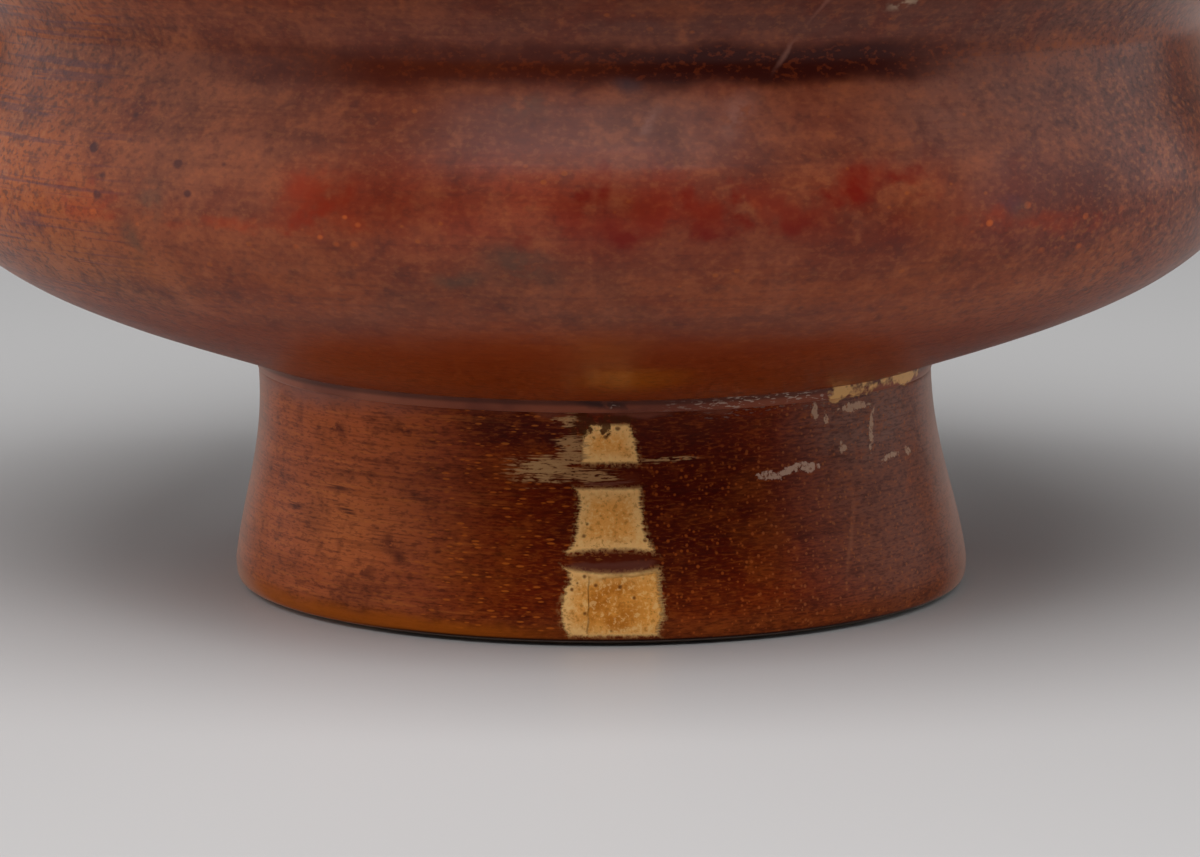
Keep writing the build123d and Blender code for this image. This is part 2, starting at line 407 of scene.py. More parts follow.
def turning_tree():
    """Geometry Nodes tree that turns a half-section on the wheel axis."""
    wander = 0.6  # how far the ridges change on their way round
    sharp = 0.6  # radians: edges that turn by more are drawn sharp
    same_point = 1e-7  # m: the column's ends, and the points on the axis, are joined
    tree = bpy.data.node_groups.new(TURNED, "GeometryNodeTree")
    put = partial(add, tree)
    tree.interface.new_socket("Half-section", in_out="INPUT", socket_type="NodeSocketGeometry")
    inputs = {
        "Segments": ("Int", 360),
        "Ridge depth": ("Float", 0.0),
        "Ridge spacing": ("Float", 1.0),
        "Lean": ("Float", 0.0),
        "Lean height": ("Float", 1.0),
        "Rim height": ("Float", 1.0),
        "Seam height": ("Float", 0.0),
        "Seed": ("Int", 0),
        "Clay": ("Material", None),
    }
    for name, (kind, value) in inputs.items():
        socket = tree.interface.new_socket(name, in_out="INPUT", socket_type="NodeSocket" + kind)
        if value is not None:
            socket.default_value = value
    tree.interface.new_socket("Turned", in_out="OUTPUT", socket_type="NodeSocketGeometry")
    given = put("NodeGroupInput").outputs
    section = given["Half-section"]

    # A flat grid, 1 m square: a column for each segment and a row for each point of the section
    count = put("GeometryNodeAttributeDomainSize", section)
    last = put(MINUS, count, 1)
    grid = put("GeometryNodeMeshGrid", 1, 1, put(MATH, given["Segments"], 1), count)
    place = put(SPLIT, put("GeometryNodeInputPosition")).outputs
    turn = put(TIMES, put(MATH, place["X"], 0.5), -math.tau)
    row = put(MATH, put(TIMES, put(MATH, place["Y"], 0.5), last), operation="ROUND")

    position = put("GeometryNodeInputPosition")
    here, after, before = (
        put(SAMPLE, section, position, put(MATH, row, step), data_type="FLOAT_VECTOR", clamp=True)
        for step in (0, 1, -1)
    )
    stored = put("GeometryNodeInputNamedAttribute", "wheel_run")
    run, whole = (put(SAMPLE, section, stored, index, clamp=True) for index in (row, last))
    along = put(VECTOR, put(VECTOR, after, before, operation="SUBTRACT"), operation="NORMALIZE")
    along = put(SPLIT, along).outputs
    point = put(SPLIT, here).outputs
    cosine, sine = put(MATH, turn, operation="COSINE"), put(MATH, turn, operation="SINE")

    # Soft ridges of the potter's tool, cut into the surface, and faded out at the ends and at the seam
    up = put(OVER, run, given["Ridge spacing"])
    ridge_place = put(JOIN, put(TIMES, cosine, wander), put(TIMES, sine, wander), up)
    ridges = put(NOISE, ridge_place, given["Seed"], 1, 1, noise_dimensions="4D")
    to_end = put(LEAST, run, put(MINUS, whole, run))
    to_seam = put(MATH, put(MINUS, point["Z"], given["Seam height"]), operation="ABSOLUTE")
    fade = put(RANGE, put(LEAST, to_end, to_seam), 0, given["Ridge spacing"])
    depth = put(TIMES, put(TIMES, given["Ridge depth"], fade), -1)
    cut = put(TIMES, ridges, depth)
    radius = put(TIMES_PLUS, along["Z"], cut, point["X"])
    height = put(MINUS, point["Z"], put(TIMES, along["X"], cut))

    # The wall sits a little to one side of the foot, as a piece luted by hand does
    rising = put(RANGE, point["Z"], 0, given["Lean height"], **SMOOTH)
    falling = put(RANGE, point["Z"], given["Lean height"], given["Rim height"], 1, 0, **SMOOTH)
    lean = put(TIMES, put(TIMES, rising, falling), given["Lean"])
    turned = put(JOIN, put(MINUS, put(TIMES, radius, sine), lean), put(TIMES, radius, cosine), height)
    kept = put("GeometryNodeStoreNamedAttribute", grid, None, "wheel_run", run)
    placed = put("GeometryNodeSetPosition", kept, None, turned)
    closed = put("GeometryNodeMergeByDistance", placed, None, same_point)
    smooth = put("GeometryNodeSetShadeSmooth", closed)
    corner = put(MATH, put("GeometryNodeInputMeshEdgeAngle"), sharp, operation="GREATER_THAN")
    shaded = put("GeometryNodeSetShadeSmooth", smooth, corner, False, domain="EDGE")
    real = put("GeometryNodeRealizeInstances", shaded)
    put("NodeGroupOutput", put("GeometryNodeSetMaterial", real, None, given["Clay"]))
    return tree


def turn_piece(name, points, s, segments, depth, clay):
    """Turns a half-section with the tree, and keeps the result as a plain mesh."""
    tree = bpy.data.node_groups.get(TURNED) or turning_tree()
    section = outline_object(name + "_section", points)
    modifier = section.modifiers.new("Turned", "NODES")
    modifier.node_group = tree
    values = {
        "Segments": segments,
        "Ridge depth": depth,
        "Ridge spacing": s.wheel.ridge_spacing,
        "Lean": s.wheel.lean,
        "Lean height": s.wall.belly_height,
        "Rim height": s.wall.rim_height,
        "Seam height": s.foot.neck_height,
        "Seed": s.wheel.seed,
        "Clay": clay,
    }
    sockets = {item.name: item.identifier for item in tree.interface.items_tree if item.in_out == "INPUT"}
    for label, value in values.items():
        modifier[sockets[label]] = value
    graph = bpy.context.evaluated_depsgraph_get()
    turned = section.evaluated_get(graph)
    mesh = bpy.data.meshes.new_from_object(turned, preserve_all_data_layers=True, depsgraph=graph)
    bpy.data.objects.remove(section)
    mesh.name = name
    return new_object(name, mesh)


class Studio(bpy.types.PropertyGroup):
    camera_distance: length("Camera distance", "From the wheel axis, level", 316.4 * MM)
    camera_height: length("Camera height", "Above the table", 59.8 * MM)
    camera_side: length("Camera side", "Off the wheel axis", -0.1 * MM)
    camera_pitch: angle("Camera pitch", "Down from level", 8.84)
    lens: FloatProperty(name="Lens", description="Focal length on a 36 mm frame", default=135, unit="CAMERA")
    floor_radius: length("Floor radius", "Radius of the plain table", 3)
    floor_colour: colour("Floor", "Matt pale paper", "#C4C3C3")
    left_power: power("Left light", "Power of the left softbox", 4.6)
    right_power: power("Right light", "Power of the right softbox", 2.4)
    top_power: power("Top light", "Power of the overhead softbox", 7.5)


class BowlSettings(bpy.types.PropertyGroup):
    foot: PointerProperty(type=FootSizes)
    wall: PointerProperty(type=WallSizes)
    seam: PointerProperty(type=SeamSizes)
    wheel: PointerProperty(type=WheelMarks)
    studio: PointerProperty(type=Studio)


def lay(tint, share, *where, **more):
    """Layer of a coat: its tint, its largest share, and fields, each with where it starts and is full.

    marks    ovals it is kept to: place, half-width, half-height and any tilt in degrees
    core     share of an oval's reach that is at full strength
    through  field that breaks up the ovals' edges, and fade, the value where it is whole
    rough    added to the roughness
    lift     mm added to the height
    """
    return dict(tint=tint, share=share, where=where, **more)


def coat(name, girth, outside, base, roughness, gloss, fields, layers, masks=None):
    """Material in layers. Every length is in mm; a place is (round from the front, height).

    outside  how far along the section the outside face ends. Marks and levels stop there.
    fields   names a noise: texture, whether it follows the clay or the wheel, size round, size up, detail.
             No two are alike, because each is moved on.
    masks    adds fields made from the others.
    """
    beyond = 400  # out of reach of every mark and level
    moved_on = 7.3
    ragged_sizes = ((4.0, 1.8), (0.8, 0.35))  # size of a noise, and how far it moves the marks' edges
    odd_share = 0.2  # how far cells differ from each other
    broken_from, broken_whole, help_near = 0.6, 0.72, 0.26  # a field breaks an oval, less near its middle
    material = bpy.data.materials.new(name)
    material.use_nodes = True
    tree = material.node_tree
    tree.nodes.clear()
    put = partial(add, tree)

    clay = put(VECTOR, put("ShaderNodeTexCoord").outputs["Object"], (1 / MM,) * 3, operation="MULTIPLY")
    x, y, z = put(SPLIT, clay).outputs
    run = put(TIMES, put("ShaderNodeAttribute", attribute_name="wheel_run").outputs["Fac"], 1 / MM)
    wheel = put(JOIN, x, y, run)
    turn = put(MATH, x, put(TIMES, y, -1), operation="ARCTAN2")
    round_from_front = put(TIMES, turn, girth)
    graze = put("ShaderNodeLayerWeight", 0.5).outputs["Facing"]
    z = put(MATH, z, put(RANGE, run, outside, outside + 0.5, 0, beyond))
    known = {"height": z, "run": run, "front": y, "across": x, "side": round_from_front, "graze": graze}
    for seed, (field, (texture, follows, size, rise, *detail)) in enumerate(fields.items()):
        source = wheel if follows == "wheel" else clay
        scale, move = (1 / size, 1 / size, 1 / rise), (moved_on * seed,) * 3
        place = put(VECTOR, source, scale, move, operation="MULTIPLY_ADD")
        if texture == "cells":
            cells = put(CELLS, place, 1)
            odd = put(CHANNELS, cells.outputs["Color"])
            known[field] = put(TIMES_PLUS, odd, odd_share, cells.outputs["Distance"])
        else:
            known[field] = put(NOISE, place, 1, *detail)

    # Marks have the ragged edges of something brushed, worn or chipped
    place = put(JOIN, round_from_front, z, 1)
    for size, reach in ragged_sizes:
        ragged = put(NOISE, put(VECTOR, clay, (1 / size,) * 3, operation="MULTIPLY"), 1, 2).outputs["Color"]
        red, green, _ = put(CHANNELS, ragged).outputs
        place = put(VECTOR, place, (-reach / 2, -reach / 2, 0), operation="ADD")
        place = put(VECTOR, put(JOIN, red, green), (reach,) * 3, place, operation="MULTIPLY_ADD")
    known["about"], known["level"], _ = put(SPLIT, place).outputs
    if masks:
        known.update(masks(put, known))

    colour, height = (*linear(base), 1), 0
    for layer in layers:
        mask = layer["share"]
        for field, low, high in layer["where"]:
            part = put(RANGE, known[field], low, high, **SMOOTH)
            mask = put(TIMES, part, mask)
        away = 1
        for side, rise, half_width, half_height, *tilt in layer.get("marks", ()):
            leans, centre = math.radians(sum(tilt)), Vector((side, rise))
            wide = Vector((math.cos(leans), math.sin(leans))) / half_width
            high = Vector((-math.sin(leans), math.cos(leans))) / half_height
            oval = put(JOIN, *(put(VECTOR, place, (*axis, -axis.dot(centre)), operation="DOT_PRODUCT")
                               for axis in (wide, high)))
            away = put(LEAST, put(VECTOR, oval, operation="LENGTH"), away)
        if "marks" in layer:
            near = put(RANGE, away, 1, layer.get("core", 0), **SMOOTH)
            if "through" in layer:
                broken = put(TIMES_PLUS, near, help_near, known[layer["through"]])
                sharp = put(RANGE, broken, broken_from, layer.get("fade", broken_whole))
                near = put(TIMES, put(RANGE, near, 0, 0.3), sharp)
            mask = put(TIMES, near, mask)
        colour = put("ShaderNodeMix", mask, colour, (*linear(layer["tint"]), 1), data_type="RGBA")
        if "rough" in layer:
            roughness = put(TIMES_PLUS, mask, layer["rough"], roughness)
        if "lift" in layer:
            height = put(TIMES_PLUS, mask, layer["lift"], height)
    bump = put("ShaderNodeBump", inputs=[("Strength", 1), ("Distance", MM), ("Height", height)])
    shader = put("ShaderNodeBsdfPrincipled", inputs=[
        ("Base Color", colour), ("Roughness", roughness), ("Specular IOR Level", gloss), ("Normal", bump)])
    put("ShaderNodeOutputMaterial", shader)
    return material


# Earthenware under a thin red slip, rubbed while it turned on the wheel: a soft sheen, mottled brown to
# orange red, with fine rings from the wheel and darker specks where the slip gathered. The real grain is
# under 0.1 mm, too fine to show, so it is drawn 0.3 to 0.5 mm wide.
WALL_FIELDS = {
    "clouds": ("noise", "clay", 11, 7, 3, 0.5),
    "blots": ("noise", "clay", 3.4, 4.2, 3, 0.55),
    "mottle": ("noise", "clay", 1.7, 1.3, 3, 0.6),
    "grain": ("noise", "clay", 0.5, 0.34, 2, 0.6),
    "bands": ("noise", "wheel", 70, 3.0, 3, 0.6),
    "hairs": ("noise", "wheel", 13, 0.34, 2, 0.5),
    "specks": ("cells", "clay", 1.3, 1.0),
    "pits": ("cells", "clay", 1.9, 1.5),
}
WALL_LAYERS = [
    # Slip more orange on the left, greyer under the rim and to the right. Paler pink beside the top light's
    # highlight: painted highlight
    lay("#B05408", 0.9, core=0.15, marks=[(-51, 36, 27, 44)]),
    # Painted highlight: paler pink on the left of the top light's highlight band
    lay("#9A5A3C", 0.6, marks=[(-27, 35, 15, 9)]),
    lay("#6C2E28", 0.7, core=0.2, marks=[(28, 31, 17, 6.5)]),
    lay("#5C1A0E", 0.65, marks=[(2.5, 31, 8, 3.4), (17, 30, 7, 3)]),
    lay("#7A2A10", 0.5, marks=[(15.5, 36, 6, 2.2), (-14, 30.8, 9, 3)]),
    lay("#603A32", 0.8, ("level", 39.5, 42), core=0.3, marks=[(16, 48, 50, 16)]),
    lay("#6E4236", 0.6, core=0.3, marks=[(36, 38, 24, 14)]),
    # Painted highlight: paler pink on the right of the top light's highlight band
    lay("#8A5644", 0.5, marks=[(20, 36, 13, 6)]),
    lay("#963C2A", 0.5, core=0.2, marks=[(-3, 31.5, 19, 4.5)]),
    # Thin slip on the underside
    lay("#8C401C", 0.7, ("level", 28, 25)),
    lay("#A25A22", 0.5, core=0.2, marks=[(-37, 25.8, 15, 3.4)]),
    # Rings from the wheel
    lay("#5A2416", 0.35, ("bands", 0.5, 0.7), lift=-0.02),
    lay("#9A5436", 0.3, ("bands", 0.48, 0.3)),
    lay("#5A2A20", 0.25, ("hairs", 0.5, 0.66), rough=0.05, lift=-0.004),
    # Clouds, blots and mottling in the slip
    lay("#603428", 0.5, ("clouds", 0.5, 0.68), rough=0.06),
    lay("#9C4E24", 0.35, ("clouds", 0.46, 0.3)),
    lay("#68281A", 0.4, ("blots", 0.52, 0.64)),
    lay("#9A5438", 0.3, ("blots", 0.47, 0.34)),
    lay("#4E2620", 0.42, ("mottle", 0.53, 0.7), rough=0.08, lift=-0.004),
    lay("#A65A36", 0.36, ("mottle", 0.47, 0.3), lift=0.004),
    lay("#4A2420", 0.22, ("grain", 0.52, 0.64)),
    lay("#A8623A", 0.18, ("grain", 0.46, 0.34)),
    lay("#B05A24", 0.4, ("specks", 0.22, 0.12), ("clouds", 0.55, 0.42)),
    # Darker rings where the slip gathered at the foot. In the crease at the waist, painted shade, on the
    # front only
    lay("#7C2A02", 0.8, ("level", 24.5, 20.5)),
    lay("#8A3608", 0.75, ("level", 19.5, 17.5)),
    lay("#A85A0C", 0.6, marks=[(3, 18.3, 8, 1.8)]),
    # Painted shade and painted reflection of the dark room in the crease, darkest in the middle of the front
    lay("#4E1604", 0.8, ("level", 37.7, 38.9), ("level", 41.4, 40.2), ("about", -34, -14), ("about", 32, 16)),
    lay("#320602", 0.85, ("level", 37.9, 39), ("level", 41.2, 40.1), ("about", -8, 6), ("about", 26, 17)),
    lay("#7A3010", 0.5, ("grain", 0.48, 0.34), ("level", 38.2, 39), ("level", 40.9, 40.2),
        ("about", -34, -14)),
    # Deep red where the slip stayed thick, and orange flecks and streaks beside it
    lay("#8A200E", 0.55, ("blots", 0.42, 0.6), core=0.1,
        marks=[(6, 30.6, 16, 3), (16, 31.6, 8, 2.6), (-17.5, 31.4, 5, 3)]),
    lay("#781204", 0.75, through="mottle", fade=0.85, marks=[
        (-0.1, 32.3, 0.9, 2.8), (-0.6, 31.2, 1.5, 1.6), (-4.2, 29.3, 1.8, 1), (5, 31.7, 1.3, 2.1),
        (5.9, 29.5, 2.5, 1.5), (7.8, 32, 1.4, 2.3), (8.7, 30.2, 2.5, 1.7), (1.9, 29.4, 3.4, 1),
        (11.5, 29.8, 5, 1.2), (15, 32.1, 3.8, 1.9), (19, 32, 2.8, 1.6), (-17.2, 30.9, 3.8, 1.4, 30)]),
    lay("#A83A14", 0.4, through="mottle", fade=0.85, marks=[
        (-17.5, 31.6, 5.2, 3.6), (-15.4, 30.2, 3, 1.6), (-22, 29.4, 9, 0.9, 3), (28, 29.5, 12, 1.4, -3),
        (-34, 30, 6, 3)]),
    lay("#500E02", 0.38, marks=[(7, 29.4, 22, 2.8), (-13, 31, 10, 3.4), (0.5, 31, 6, 3), (32, 31, 9, 4)]),
    lay("#C8602A", 0.6, ("specks", 0.34, 0.2), core=0.2,
        marks=[(-17, 29.8, 5, 2.2), (28, 29, 12, 2.4), (-30, 29.5, 8, 3)]),
    lay("#5E3038", 0.6, ("mottle", 0.4, 0.5), marks=[(-42, 28.6, 4.7, 1.2), (26.5, 30.4, 1.6, 0.8)]),
    # Greenish smudges, and dark specks
    lay("#564A3C", 0.4, ("mottle", 0.35, 0.55), marks=[
        (-5, 27.7, 3.4, 2.2), (-4.8, 37.1, 2.2, 1.2), (-28.5, 30.6, 1.8, 2.2), (-30.4, 28.4, 1.4, 2.6),
        (-33.3, 28.8, 1.6, 0.8), (27.3, 30, 1.8, 0.9), (-9, 26.6, 3, 1)]),
    lay("#2C2A34", 0.6, marks=[(1.6, 38.2, 1.5, 0.8)]),
    lay("#3A1C22", 0.75, ("pits", 0.34, 0.2), core=0.3,
        marks=[(-33, 34, 6, 8), (-40, 30, 6, 3), (-25, 32, 7, 3.5), (-15.5, 36.6, 2.5, 1.4), (40, 32, 8, 3)]),
    # Pale rubbed streaks that run up to the right, and chalky flecks under the rim
    lay("#A87060", 0.38, ("mottle", 0.36, 0.5), marks=[
        (8.3, 36.6, 2.4, 1.3, 48), (3, 36.2, 2.2, 0.5, 66), (13.9, 43.9, 2.8, 0.25, 59),
        (11.6, 40.4, 2, 0.3, 53)]),
    lay("#BCA288", 0.7, ("mottle", 0.45, 0.52),
        marks=[(18.9, 43.4, 1.6, 0.7), (21.6, 43.8, 1.6, 0.7), (14.4, 44.5, 1, 0.8)]),
    # Fine dark grain, plain to see at the sides
    lay("#3E2018", 0.5, ("grain", 0.5, 0.66), ("front", -41, -24), lift=-0.012),
    lay("#5A3038", 0.5, ("hairs", 0.52, 0.66), ("across", -27.7, -33.4), lift=-0.01),
    lay("#B06A3A", 0.3, ("grain", 0.46, 0.32), ("front", -41, -24)),
    # Inside redder and worn in the floor, lip rubbed to the clay, thin brushed slip in the foot's hollow
    lay("#7A2C18", 0.55, ("run", 88, 92)),
    lay("#5A2014", 0.5, ("run", 107, 110), ("run", 117, 114)),
    lay("#985636", 0.45, ("run", 128, 156), ("clouds", 0.3, 0.6), rough=0.1),
    lay("#5E2A1A", 0.4, ("run", 120, 130), ("hairs", 0.48, 0.62), lift=-0.01),
    lay("#A86A42", 0.6, ("run", 83, 85), ("run", 88.5, 87), ("blots", 0.36, 0.6), rough=0.1),
    lay("#C08C5C", 0.6, ("run", 84, 85.5), ("run", 88, 86.5), ("mottle", 0.5, 0.62), rough=0.15),
    lay("#BE8A58", 0.75, ("run", 20, 16), ("mottle", 0.38, 0.54), rough=0.2),
    lay("#7E3A1A", 0.6, ("run", 20, 16), ("hairs", 0.46, 0.58)),
    # Painted sheen: the slip painted paler at a low angle, towards the right edge
    lay("#B4968A", 0.55, ("graze", 0.62, 0.95), ("across", 30.7, 40.7), ("level", 26, 30), rough=0.15),
]

# The same slip over a foot ring trimmed with a blade: darker, with the blade's rings and with orange flecks
# that the wheel drew round. Its grain too is drawn coarser than it is.
FOOT_FIELDS = {
    "clouds": ("noise", "clay", 7, 5, 3, 0.55),
    "mottle": ("noise", "clay", 1.4, 1.1, 3, 0.6),
    "fuzz": ("noise", "clay", 0.3, 0.3, 3, 0.65),
    "bands": ("noise", "wheel", 40, 2.2, 3, 0.6),
    "hairs": ("noise", "wheel", 6, 0.2, 2, 0.5),
    "brushed": ("noise", "wheel", 2.6, 0.16, 3, 0.7),
    "grain": ("noise", "wheel", 0.6, 0.15, 2, 0.6),
    "dots": ("cells", "clay", 0.4, 0.4),
    "dashes": ("cells", "wheel", 1.0, 0.26),
    "grit": ("cells", "clay", 0.8, 0.8),
}

# Bare stripe down the front: height, and how far its left and right sides are round from the front
STRIPE_SIDES = (
    [(0.5, -2.0), (1.6, -2.5), (2.5, -2.63), (3.7, -2.44), (4.6, -2.1), (5.4, -2.5), (6.1, -2.44),
     (6.5, -2.11), (7.4, -1.79), (8.4, -1.66), (9.7, -1.6), (10.4, -1.85), (11.9, -1.45), (13.7, -1.35),
     (14.4, -0.9), (15, 0)],
    [(0.5, 3.7), (1.3, 3.8), (2.1, 4.1), (3.1, 4.0), (4.5, 3.87), (5.3, 3.8), (6.2, 3.55), (6.9, 3.15),
     (7.6, 2.96), (9.1, 2.76), (10.4, 2.7), (11.9, 2.6), (13.7, 2.3), (14.6, 1.9), (15, 1.4)],
)
# Its three patches of bare clay: lower edge and its bow, upper edge and its bow
STRIPE_PATCHES = ((0.72, 0, 4.95, 0.035), (6.38, -0.03, 10.4, 0), (11.9, 0, 14.6, 0))
STRIPE_SPAN = 16  # the curves of its sides run from 0 to 1, for this height and this width
STRIPE_MIDDLE = 0.8


def stripe_masks(put, known):
    """Bare clay that the slip left free, with fuzzy edges, and the distance in from its sides."""
    fuzz_up, fuzz_across, brushed_across = 0.3, 0.4, 0.8  # how far the noises move its edges
    side, height = known["side"], known["height"]
    fuzz = put(MINUS, known["fuzz"], 0.5)
    level = put(TIMES_PLUS, fuzz, fuzz_up, height)
    sides = []
    for edge in STRIPE_SIDES:
        curve = put("ShaderNodeFloatCurve", 1, put(TIMES, height, 1 / STRIPE_SPAN))
        points = curve.mapping.curves[0].points
        for i, (up, out) in enumerate(edge):
            spot = up / STRIPE_SPAN, out / STRIPE_SPAN + 0.5
            point = points[i] if i < 2 else points.new(*spot)
            point.location = spot
        curve.mapping.update()
        sides.append(put(TIMES, put(MINUS, curve, 0.5), STRIPE_SPAN))
    left, right = put(MINUS, side, sides[0]), put(MINUS, sides[1], side)
    across = put(TIMES_PLUS, fuzz, fuzz_across, put(LEAST, left, right))
    across = put(TIMES_PLUS, put(MINUS, known["brushed"], 0.5), brushed_across, across)
    patches = -1
    off_middle = put(MATH, put(MINUS, side, STRIPE_MIDDLE), 2, operation="POWER")
    for low, low_bow, high, high_bow in STRIPE_PATCHES:
        if low_bow:
            low = put(TIMES_PLUS, off_middle, low_bow, low)
        if high_bow:
            high = put(TIMES_PLUS, off_middle, high_bow, high)
        inside = put(LEAST, put(MINUS, level, low), put(MINUS, high, level))
        patches = put(MOST, inside, patches)
    return {"bare": put(LEAST, across, patches), "stripe": across}


